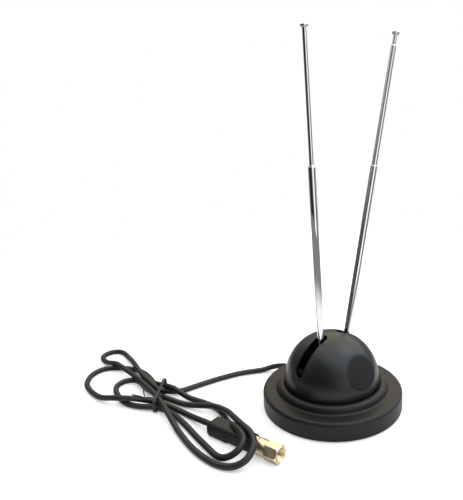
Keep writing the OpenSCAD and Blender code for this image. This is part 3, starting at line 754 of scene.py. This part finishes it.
solder_mask, mask_shader, mask_place = finish_named("solder_mask", Specular_IOR_Level=.5)
mask_x, _, _ = mask_place.parts()
mask_tracks = mask_x.sum("PINGPONG", mask_x, .0024).between(.0009, .0012)
mask_tracks.blend((.012, .09, .03, 1), (.02, .14, .05, 1)).to(mask_shader.inputs["Base Color"])
(.28 + noise(mask_place, 1, 3) * .12).to(mask_shader.inputs["Roughness"])
bump(mask_tracks, .00003, .6).to(mask_shader.inputs["Normal"])
painted(solder_mask, "balun_board")

ferrite, ferrite_shader, ferrite_place = finish_named("ferrite", Specular_IOR_Level=.5)
ferrite_skin = noise(ferrite_place, 2, 5, .6)
ferrite_skin.blend((.028, .028, .03, 1), (.06, .06, .062, 1)).to(
    ferrite_shader.inputs["Base Color"])
(.45 + ferrite_skin * .2).to(ferrite_shader.inputs["Roughness"])
bump(ferrite_skin, .0001, .5).to(ferrite_shader.inputs["Normal"])
painted(ferrite, "balun_core")

enamel, enamel_shader, enamel_place = finish_named(
    "enamelled_copper", Metallic=.9, Coat_Weight=.6, Coat_Roughness=.1)
noise(enamel_place, .9, 3).blend((.5, .16, .05, 1), (.68, .26, .09, 1)).to(
    enamel_shader.inputs["Base Color"])
(.22 + noise(enamel_place, 2, 2) * .12).to(enamel_shader.inputs["Roughness"])
painted(enamel, "balun_winding")

for wire_node, wire_dark, wire_light in (
        ("left_wire", (.32, .012, .01, 1), (.42, .022, .016, 1)),
        ("right_wire", (.012, .012, .013, 1), (.022, .022, .024, 1)),
        ("core_wire", (.62, .6, .54, 1), (.74, .72, .66, 1))):
    wire_skin, wire_shader, wire_place = finish_named(wire_node + "_skin", Specular_IOR_Level=.45)
    wire_bloom = noise(wire_place, .4, 3)
    wire_bloom.blend(wire_dark, wire_light).to(wire_shader.inputs["Base Color"])
    (.35 + wire_bloom * .15).to(wire_shader.inputs["Roughness"])
    painted(wire_skin, wire_node)

braid, braid_shader, braid_place = finish_named("copper_braid", Metallic=1.0)
braid_weave = braid_place.node("ShaderNodeTexVoronoi", {}, {
    "Vector": braid_place, "Scale": 4200}, "Distance")
braid_weave.between(0, .5).blend((.2, .085, .035, 1), (.66, .34, .17, 1)).to(
    braid_shader.inputs["Base Color"])
(.3 + braid_weave * .3).to(braid_shader.inputs["Roughness"])
bump(braid_weave, .00012, .7).to(braid_shader.inputs["Normal"])
painted(braid, "shield_wire")


# Rods: brass tube in bright chrome, drawn thin and rolled in at each top to guide
# the next tube, one inside the other, with a small turned button on the end.

chrome, chrome_shader, chrome_place = finish_named("chrome_plate", Metallic=1.0)
chrome_haze = noise(chrome_place, .06, 3)
chrome_marks = chrome_place.node("ShaderNodeTexNoise", {}, {
    "Vector": chrome_place.node("ShaderNodeMapping", {}, {
        "Vector": chrome_place, "Scale": (1, 1, .08)}), "Scale": 2600.0, "Detail": 3.0}, "Fac")
chrome_haze.between(.3, .7).blend((.80, .81, .825, 1), (.87, .875, .88, 1)).to(
    chrome_shader.inputs["Base Color"])
(.025 + chrome_haze * .03 + chrome_marks.between(.5, .8) * .04).to(
    chrome_shader.inputs["Roughness"])
bump(chrome_marks, .000004, .35).to(chrome_shader.inputs["Normal"])

bronze, bronze_shader, bronze_place = finish_named("spring_bronze", Metallic=1.0)
bronze_bloom = noise(bronze_place, .9, 4)
bronze_bloom.blend((.42, .24, .09, 1), (.6, .38, .17, 1)).to(bronze_shader.inputs["Base Color"])
(.26 + bronze_bloom * .2).to(bronze_shader.inputs["Roughness"])
painted(bronze, "left_middle_sleeve", "right_middle_sleeve",
        "left_inner_sleeve", "right_inner_sleeve")


def tube_outline(radius, bore, low, top, mouth, waist):
    """Section of one tube: its wall, its rolled-in top, and the thin end its sleeve sits on."""
    foot = radius - (.15 if waist else 0)
    step = [(foot, low + 6, 0), (radius, low + 6, 0)] if waist else []
    return corners_rounded([
        (bore, low, .08), (foot, low, .08), *step,
        (radius, top - .5, .35), (radius - .2, top, .12), (mouth, top, .15),
        (mouth, top - 2, .1), (bore, top - 2, .1)], 40)


# Heights along a rod from its pivot, pushed right in; then how far each is out at rest.
PIVOT_X, PIVOT_Z = 8.6, 20
OUTER_TOP, MIDDLE_TOP, INNER_TOP = 152, 152.8, 153.4
MIDDLE_LONG, INNER_LONG = 134, 132
for side, name, lean, middle_out, total in ((-1, "left", -2.2, 0, 81), (1, "right", 13.5, 82, 89)):
    stand_at = {"place": (side * PIVOT_X, 0, PIVOT_Z), "turn": (0, math.radians(lean), 0),
                "steps": 64}
    pieces = (("outer_tube", "arm", tube_outline(2.4, 2.0, 8, OUTER_TOP, 1.95, False)),
              ("middle_tube", "middle",
               tube_outline(1.9, 1.5, MIDDLE_TOP + middle_out - MIDDLE_LONG,
                            MIDDLE_TOP + middle_out, 1.45, True)),
              ("inner_tube", "inner",
               tube_outline(1.4, 1.0, INNER_TOP + total - INNER_LONG, INNER_TOP + total, .95, True)))
    for part, body, outline in pieces:
        tube = turned(f"{name}_{part}_chrome", outline, chrome, f"{name}_{body}", **stand_at)
        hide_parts(f"{name}_{part}")
    top = INNER_TOP + total
    button = turned(f"{name}_button", [
        Vector((0, top - 4)), Vector((1, top - 4)), Vector((1, top)),
        *arc(2.15, top + .35, .35, 270, 360, 6),
        *arc(2.1, top + 1.05, .4, 0, 80, 8), Vector((1.2, top + 1.49)), Vector((0, top + 1.5))],
        chrome, f"{name}_inner", closed=False, **stand_at)
    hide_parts(f"{name}_tip")


# Grommet and clamp: a black rubber sleeve with a flange on each side of the wall and
# a tapered tail, and a natural nylon saddle that grips the lead just inside.

rubber, rubber_shader, rubber_place = finish_named("grommet_rubber", Specular_IOR_Level=.35)
rubber_grain = noise(rubber_place, 1.6, 5, .6)
rubber_grain.blend((.011, .011, .012, 1), (.02, .02, .021, 1)).to(
    rubber_shader.inputs["Base Color"])
(.5 + rubber_grain * .18).to(rubber_shader.inputs["Roughness"])
bump(rubber_grain, .00006, .5).to(rubber_shader.inputs["Normal"])
tail = [(2.1, 10.7, 0), (2.7, 10.7, .35)]
for ridge in range(5):
    base = 9.7 - ridge * 1.15
    half = 2.72 + (9.7 - base) * .118
    tail += [(half, base, .1), (half - .28, base - .15, .1), (half - .26, base - .6, .1),
             (half + .06, base - .75, .1)]
grommet = turned("grommet", corners_rounded([
    *tail, (3.45, 4.25, .1), (3.7, 4.1, .25), (3.7, 3.06, .15), (2.9, 3.02, .1), (2.9, -.25, .1),
    (3.8, -.25, .2), (3.8, -1.6, .3), (2.1, -1.6, .1)], 32), rubber, "stand",
    place=(0, 47, OUTLET_Z), turn=(-math.pi / 2, 0, 0), steps=72)
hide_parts("lead_grommet")

nylon, nylon_shader, nylon_place = finish_named(
    "natural_nylon", Specular_IOR_Level=.45, Subsurface_Weight=.2)
nylon_cloud = noise(nylon_place, .5, 3)
nylon_cloud.blend((.62, .61, .55, 1), (.72, .71, .66, 1)).to(nylon_shader.inputs["Base Color"])
(.4 + nylon_cloud * .15).to(nylon_shader.inputs["Roughness"])
painted(nylon, "lead_clamp")


# Tie: a flat black plastic strip with a wire rib, bent once round the bundle, and
# its two ends twisted back over the strands.

def lofted(name, rings, closed, body, material, limit=.6):
    """Skin over rings of points in millimetres; its ends are capped unless it closes on itself."""
    shape = bmesh.new()
    made = [[shape.verts.new(Vector(p) * MM) for p in ring] for ring in rings]
    pairs = list(zip(made, made[1:])) + ([(made[-1], made[0])] if closed else [])
    for ring_a, ring_b in pairs:
        for i in range(len(ring_a)):
            j = (i + 1) % len(ring_a)
            shape.faces.new((ring_a[i], ring_a[j], ring_b[j], ring_b[i]))
    if not closed:
        shape.faces.new(reversed(made[0]))
        shape.faces.new(made[-1])
    mesh = bpy.data.meshes.new(name)
    shape.to_mesh(mesh)
    shape.free()
    piece = bpy.data.objects.new(name, mesh)
    bpy.context.scene.collection.objects.link(piece)
    tidied(piece, body)
    smoothed(piece, material, limit)
    return piece


def rounded_rect(w, h, r, per_corner=8):
    """Closed outline of a rounded rectangle about the origin."""
    return [(x * (w / 2 - r) + r * math.cos(math.radians(a)),
             y * (h / 2 - r) + r * math.sin(math.radians(a)))
            for x, y, first in ((1, 1, 0), (-1, 1, 90), (-1, -1, 180), (1, -1, 270))
            for a in (first + 90 * k / per_corner for k in range(per_corner + 1))]


tie_plastic, tie_shader, tie_place = finish_named("tie_plastic", Specular_IOR_Level=.45)
tie_grain = noise(tie_place, 2.5, 3)
tie_grain.blend((.006, .006, .0065, 1), (.012, .012, .013, 1)).to(tie_shader.inputs["Base Color"])
(.4 + tie_grain * .15).to(tie_shader.inputs["Roughness"])
bump(tie_grain, .00004, .4).to(tie_shader.inputs["Normal"])

strip = [(-1.2, -.12), (-1.12, -.24), (-.5, -.24), (-.3, -.3), (.3, -.3), (.5, -.24),
         (1.12, -.24), (1.2, -.12), (1.2, .12), (1.12, .24), (.5, .24), (.3, .3), (-.3, .3),
         (-.5, .24), (-1.12, .24), (-1.2, .12)]
tie_way = Vector((math.cos(math.radians(51.5)), math.sin(math.radians(51.5)), 0))
tie_side = Vector((tie_way.y, -tie_way.x, 0))
band = rounded_rect(35.4, 9.3, 2.3, 10)
tie_rings = []
for i, (x, z) in enumerate(band):
    ahead = Vector(band[(i + 1) % len(band)]) - Vector(band[i - 1])
    outward = Vector((ahead.y, -ahead.x)).normalized()
    middle = Vector((-94.5, 87.4, 4.95)) + tie_way * x + Vector((0, 0, z))
    lift = tie_way * outward.x + Vector((0, 0, outward.y))
    tie_rings.append([middle + tie_side * a + lift * b for a, b in strip])
tie_band = lofted("tie_band", tie_rings, True, "stand", tie_plastic, .7)
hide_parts("lead_tie")

tie_end_lines = (
    [(-103.6, 79.4, 9.2), (-105.3, 83, 8.6), (-107, 87, 7.6), (-110, 91.3, 8.4), (-113.3, 94.3, 9.3)],
    [(-105.6, 89.6, 7.2), (-104.4, 93.5, 6.4), (-102.8, 98, 6.2), (-100.8, 103.5, 6.9)])
for number_of, line in enumerate(tie_end_lines):
    grown(drawn(f"tie_end_{number_of + 1}", smooth_line(line, 8)), tube_tree,
                          {"Radius": .45 * MM, "Sides": 12, "Material": tie_plastic}, "stand")
    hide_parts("tie_ends")


# Plug boot: black moulded plastic grip, a wide block behind and a slimmer one in
# front, moulded over the lead and the plug's neck.

PLUG_AT, PLUG_HEADING = (-71, -30, 5.5), math.radians(-75)
PLUG = (Matrix.Translation(PLUG_AT) @ Matrix.Rotation(PLUG_HEADING, 4, "Z")
        @ Matrix.Rotation(math.radians(90), 4, "Y"))
PLUG_PLACE = {"place": PLUG_AT, "turn": (0, math.radians(90), PLUG_HEADING)}

boot_plastic, boot_shader, boot_place = finish_named("boot_plastic", Specular_IOR_Level=.36)
boot_grain = noise(boot_place, 1.8, 5, .6)
boot_grain.blend((.0055, .0055, .0055, 1), (.0105, .01, .0095, 1)).to(
    boot_shader.inputs["Base Color"])
(.42 + boot_grain * .16).to(boot_shader.inputs["Roughness"])
bump(boot_grain, .00007, .5).to(boot_shader.inputs["Normal"])

# Rings along the plug from its mouth: place, height, width, corner, and how far down.
boot_rings = []
for z, high, wide, r, down in (
        (-58, 4.6, 4.6, 2.25, .3), (-58, 7.6, 9.4, 1.9, .9), (-57.75, 8.2, 9.9, 2, .8),
        (-56, 10, 10.9, 2, .15), (-55.5, 10.4, 11, 2, 0), (-41.1, 10.4, 11, 2, 0),
        (-40.5, 10.3, 10.85, 2, 0), (-40.2, 9.9, 10.4, 2, 0), (-40.05, 9.6, 10, 2, 0),
        (-39.4, 9.6, 10, 2, 0), (-21.1, 9.6, 10, 2, 0), (-20.65, 9.3, 9.7, 1.9, 0),
        (-20.5, 8.8, 9.2, 1.8, 0), (-20.5, 7.1, 7.1, 3.54, 0), (-24, 7.1, 7.1, 3.54, 0)):
    boot_rings.append([PLUG @ Vector((x + down, y, z)) for x, y in rounded_rect(high, wide, r, 10)])
boot = lofted("plug_boot_moulded", boot_rings, False, "stand", boot_plastic, .55)
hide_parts("plug_boot")


# Plug body and nut: brass, turned, then plated pale gold. The nut has six flats
# with its corners turned off, a round collar, and spins on the body's neck.

gold, gold_shader, gold_place = finish_named("pale_gold", Metallic=1.0)
gold_haze = noise(gold_place, .25, 4)
gold_haze.between(.3, .7).blend((.86, .70, .45, 1), (.93, .81, .58, 1)).to(
    gold_shader.inputs["Base Color"])
(.22 + gold_haze * .14).to(gold_shader.inputs["Roughness"])
bump(noise(gold_place, 4, 3), .00001, .4).to(gold_shader.inputs["Normal"])

body_turned = turned("plug_body_turned", corners_rounded([
    (2.4, -26.5, .1), (3.55, -26.5, .2), (3.55, -20.5, .05), (5.0, -20.5, .25), (5.2, -20.1, .15),
    (5.2, -19.2, .15), (4.95, -19.0, .1), (4.95, -18.7, .1), (5.2, -18.5, .15), (5.2, -17.2, .25),
    (3.55, -17.2, .1), (3.55, -7.5, .05), (4.6, -7.5, .15), (4.6, -6.2, .15), (2.4, -6.2, .1)], 40),
    gold, "stand", steps=96, **PLUG_PLACE)
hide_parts("plug_body")

FLATS, NUT_STEPS = 5.5, 192


def nut_ring(z, limit, soft=.22):
    """Ring of the nut's outside at one level: six flats, rounded corners, no wider than limit."""
    ring = []
    for k in range(NUT_STEPS):
        a = 2 * math.pi * k / NUT_STEPS
        flat_a = (a + math.pi / 6) % (math.pi / 3) - math.pi / 6
        reach = soft_less(FLATS / math.cos(flat_a), limit, soft)
        ring.append(PLUG @ Vector((reach * math.cos(a), reach * math.sin(a), z)))
    return ring


def round_ring(z, radius):
    turns = (2 * math.pi * k / NUT_STEPS for k in range(NUT_STEPS))
    return [PLUG @ Vector((radius * math.cos(a), radius * math.sin(a), z)) for a in turns]


# Round the neck, over the collar, along the flats, into the mouth and down its thread.
NECK_COLLAR = ((-7.55, 3.62), (-16.4, 3.62), (-16.5, 3.75), (-16.5, 5.1), (-16.4, 5.3),
               (-16.2, 5.4), (-10.25, 5.4), (-10.08, 5.42))
SIX_FLATS = ((-10, 5.5), (-9.75, 5.85), (-9.35, 6.1), (-8.9, 6.25), (-8.4, 6.3), (-1.6, 6.3),
             (-1.1, 6.24), (-.6, 6.02), (-.2, 5.72), (0, 5.5))
thread = [(-.5 - .35 * k, 4.75 + (0 if k % 2 else -.22)) for k in range(18)]
mouth = [(0, 5.25), (-.05, 5.05), (-.35, 4.8), *thread, (-7.0, 4.8), (-7.55, 4.8)]
nut_rings = ([round_ring(z, r) for z, r in NECK_COLLAR] + [nut_ring(z, r) for z, r in SIX_FLATS]
             + [round_ring(z, r) for z, r in mouth])
nut = lofted("nut_six_flats", nut_rings, True, "nut", gold, .45)
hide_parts("plug_nut")


# Insulator and pin: a white plastic sleeve in the plug's mouth with the lead's bare
# copper core standing out of it.

sleeve_white, sleeve_shader, sleeve_place = finish_named(
    "insulator_white", Specular_IOR_Level=.45, Subsurface_Weight=.15)
sleeve_cloud = noise(sleeve_place, .9, 3)
sleeve_cloud.blend((.74, .72, .66, 1), (.82, .81, .77, 1)).to(sleeve_shader.inputs["Base Color"])
(.38 + sleeve_cloud * .14).to(sleeve_shader.inputs["Roughness"])
painted(sleeve_white, "plug_insulator")

copper, copper_shader, copper_place = finish_named("bare_copper", Metallic=1.0)
copper_tarnish = noise(copper_place, 2, 4)
copper_tarnish.blend((.55, .24, .11, 1), (.75, .38, .2, 1)).to(copper_shader.inputs["Base Color"])
(.2 + copper_tarnish * .2).to(copper_shader.inputs["Roughness"])
painted(copper, "plug_pin")
